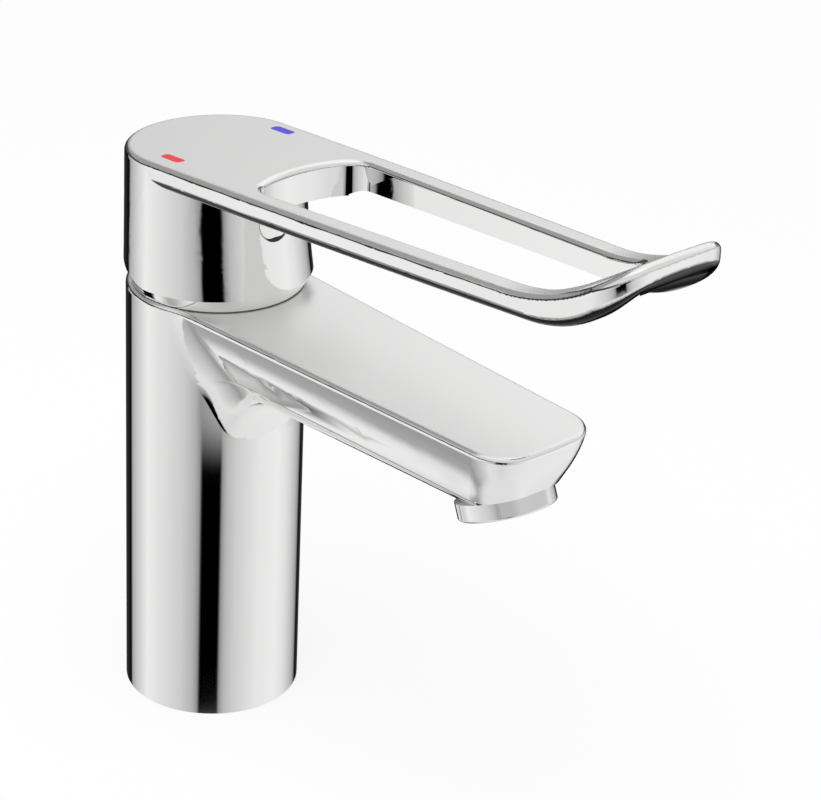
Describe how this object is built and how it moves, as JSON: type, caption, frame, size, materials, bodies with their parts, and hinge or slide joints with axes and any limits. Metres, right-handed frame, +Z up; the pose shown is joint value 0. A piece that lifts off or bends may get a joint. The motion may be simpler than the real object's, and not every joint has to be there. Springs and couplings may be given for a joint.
{
  "type": "elbow lever tap",
  "caption": "Deck-mounted basin mixer with a round upright body, a straight tapered spout and a long lever whose open loop turns up at the end.",
  "frame": {"origin": "centre of the round base, in the plane of the deck", "axes": "+Z up; the spout and the lever point along -Y; hot is on -X and cold on +X; +X is to the user's right for a user who stands on the -Y side and looks along +Y"},
  "size_m": [0.048, 0.177, 0.1742],
  "materials": {
    "chrome": "polished",
    "rubber": "matte",
    "plastic": "satin",
    "ceramic": "ground",
    "steel": "satin",
    "brass": "machined",
    "hot_red": "gloss",
    "cold_blue": "gloss"
  },
  "bodies": {
    "tap_body": {"mixer_body": "chrome", "base_seal": "rubber", "cartridge_base": "plastic", "cartridge_housing": "plastic", "inlet_seals": "rubber", "outlet_seal": "rubber", "fixed_ceramic_disc": "ceramic", "retaining_nut": "brass", "neck_ring": "chrome", "aerator_housing": "chrome", "aerator_insert": "plastic", "aerator_screen": "steel", "aerator_seal": "rubber"},
    "turret": {"rotating_carrier": "plastic", "pivot_pin": "steel"},
    "lever": {"lever": "chrome", "stem": "brass", "set_screw": "steel", "screw_plug": "chrome", "hot_marker": "hot_red", "cold_marker": "cold_blue"},
    "disc_slide": {"disc_carrier": "plastic", "moving_ceramic_disc": "ceramic"}
  },
  "joints": [
    {"name": "lever_swing", "type": "hinge", "parent": "tap_body", "child": "turret", "pos_m": [0, 0, 0.117], "axis": [0, 0, 1], "range_deg": [-50, 50]},
    {"name": "lever_lift", "type": "hinge", "parent": "turret", "child": "lever", "pos_m": [0, 0, 0.117], "axis": [-1, 0, 0], "range_deg": [0, 12]},
    {"name": "disc_travel", "type": "slide", "parent": "turret", "child": "disc_slide", "axis": [0, -1, 0], "range_m": [0, 0.00313]}
  ],
  "couplings": [
    {"joint": "disc_travel", "follows": "lever_lift", "m_per_rad": 0.0149}
  ]
}
